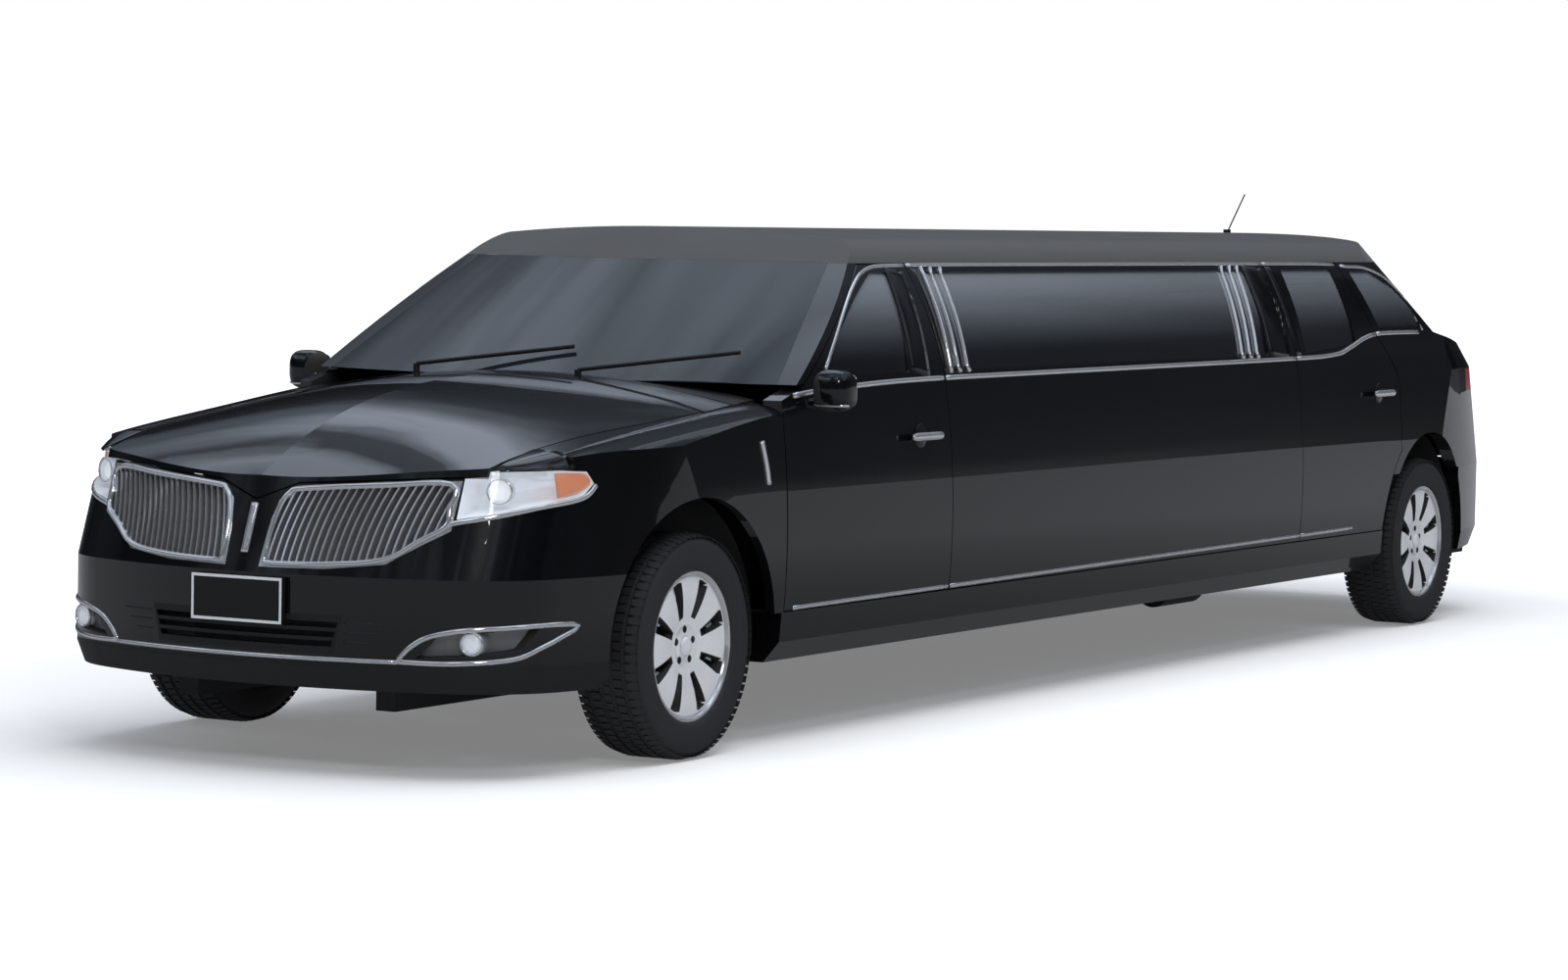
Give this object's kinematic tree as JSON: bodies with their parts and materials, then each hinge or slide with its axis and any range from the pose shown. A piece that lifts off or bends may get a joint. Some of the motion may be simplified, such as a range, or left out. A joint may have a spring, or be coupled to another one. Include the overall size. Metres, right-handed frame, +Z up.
{
  "type": "stretch limousine",
  "caption": "Stretched wagon-bodied limousine with split waterfall grille, hinged doors, hood and liftgate, steered front wheels, and a furnished cabin.",
  "frame": {"origin": "on the ground, under the middle of the car's length and width", "axes": "+X forward along the car, +Y to the car's left, +Z up; metres, steering and all lids at rest"},
  "size_m": [8.32, 2.184, 1.8082],
  "materials": {
    "paint": "gloss black",
    "roof_cover": "fine-grained dark grey covering, satin",
    "clear_glass": "clear, polished",
    "lamp_glass": "clear, polished",
    "tinted_glass": "dark tinted, polished",
    "red_lens": "gloss red",
    "tyre": "matt",
    "bright_metal": "mirror bright",
    "steel": "dull, undersealed",
    "iron": "rough cast",
    "leather": "satin black",
    "wood": "dark varnished",
    "black_plastic": "matt black"
  },
  "bodies": {
    "car_body": {"a_pillars": "paint", "antenna": "black_plastic", "arch_liners": "black_plastic", "bar_cabinet": "wood", "chin_spoiler": "black_plastic", "cowl": "black_plastic", "dashboard": "black_plastic", "engine_block": "iron", "exhaust": "steel", "fender_left": "paint", "fender_right": "paint", "floor_pan": "steel", "fog_lamps": "lamp_glass", "front_bumper": "paint", "front_plate": "black_plastic", "front_seats": "leather", "front_subframe": "steel", "grille_wings": "bright_metal", "headlamps": "lamp_glass", "intake_slats": "black_plastic", "quarter_glass": "tinted_glass", "quarter_panel_left": "paint", "quarter_panel_right": "paint", "rear_axle": "steel", "rear_bumper": "paint", "roof": "roof_cover", "saloon_seats": "leather", "sills": "paint", "steering_wheel": "black_plastic", "stretch_glass": "tinted_glass", "stretch_panel_left": "paint", "stretch_panel_right": "paint", "tail_lamps": "red_lens", "windscreen": "clear_glass", "wipers": "black_plastic"},
    "front_door_left_body": {"front_door_left": "paint", "front_door_glass_left": "tinted_glass", "mirror_left": "paint"},
    "front_door_right_body": {"front_door_right": "paint", "front_door_glass_right": "tinted_glass", "mirror_right": "paint"},
    "rear_door_left_body": {"rear_door_left": "paint", "rear_door_glass_left": "tinted_glass"},
    "rear_door_right_body": {"rear_door_right": "paint", "rear_door_glass_right": "tinted_glass"},
    "hood_body": {"hood": "paint"},
    "liftgate_body": {"liftgate": "paint", "liftgate_glass": "tinted_glass", "gate_lamp_bar": "red_lens"},
    "knuckle_left_body": {"knuckle_left": "steel"},
    "knuckle_right_body": {"knuckle_right": "steel"},
    "wheel_front_left_body": {"tyre_front_left": "tyre", "wheel_front_left": "bright_metal"},
    "wheel_front_right_body": {"tyre_front_right": "tyre", "wheel_front_right": "bright_metal"},
    "wheel_rear_left_body": {"tyre_rear_left": "tyre", "wheel_rear_left": "bright_metal"},
    "wheel_rear_right_body": {"tyre_rear_right": "tyre", "wheel_rear_right": "bright_metal"}
  },
  "joints": [
    {"name": "front_door_left_hinge", "type": "hinge", "parent": "car_body", "child": "front_door_left_body", "pos_m": [2.54, 0.966, 0.75], "axis": [0, 0, -1], "range_deg": [0, 65]},
    {"name": "rear_door_left_hinge", "type": "hinge", "parent": "car_body", "child": "rear_door_left_body", "pos_m": [-1.609, 0.966, 0.75], "axis": [0, 0, -1], "range_deg": [0, 65]},
    {"name": "front_door_right_hinge", "type": "hinge", "parent": "car_body", "child": "front_door_right_body", "pos_m": [2.54, -0.966, 0.75], "axis": [0, 0, 1], "range_deg": [0, 65]},
    {"name": "rear_door_right_hinge", "type": "hinge", "parent": "car_body", "child": "rear_door_right_body", "pos_m": [-1.609, -0.966, 0.75], "axis": [0, 0, 1], "range_deg": [0, 65]},
    {"name": "hood_hinge", "type": "hinge", "parent": "car_body", "child": "hood_body", "pos_m": [2.62, 0, 1.166], "axis": [0, -1, 0], "range_deg": [0, 50]},
    {"name": "liftgate_hinge", "type": "hinge", "parent": "car_body", "child": "liftgate_body", "pos_m": [-3.328, 0, 1.594], "axis": [0, 1, 0], "range_deg": [0, 80]},
    {"name": "steer_left", "type": "hinge", "parent": "car_body", "child": "knuckle_left_body", "pos_m": [3.06, 0.69, 0.353], "axis": [0, 0, 1], "range_deg": [-33, 33]},
    {"name": "steer_right", "type": "hinge", "parent": "car_body", "child": "knuckle_right_body", "pos_m": [3.06, -0.69, 0.353], "axis": [0, 0, 1], "range_deg": [-33, 33]},
    {"name": "wheel_front_left_spin", "type": "hinge", "parent": "knuckle_left_body", "child": "wheel_front_left_body", "pos_m": [3.06, 0.827, 0.353], "axis": [0, 1, 0], "continuous": true},
    {"name": "wheel_rear_left_spin", "type": "hinge", "parent": "car_body", "child": "wheel_rear_left_body", "pos_m": [-2.983, 0.827, 0.353], "axis": [0, 1, 0], "continuous": true},
    {"name": "wheel_front_right_spin", "type": "hinge", "parent": "knuckle_right_body", "child": "wheel_front_right_body", "pos_m": [3.06, -0.827, 0.353], "axis": [0, 1, 0], "continuous": true},
    {"name": "wheel_rear_right_spin", "type": "hinge", "parent": "car_body", "child": "wheel_rear_right_body", "pos_m": [-2.983, -0.827, 0.353], "axis": [0, 1, 0], "continuous": true}
  ],
  "couplings": [
    {"joint": "steer_right", "follows": "steer_left", "ratio": 1}
  ]
}
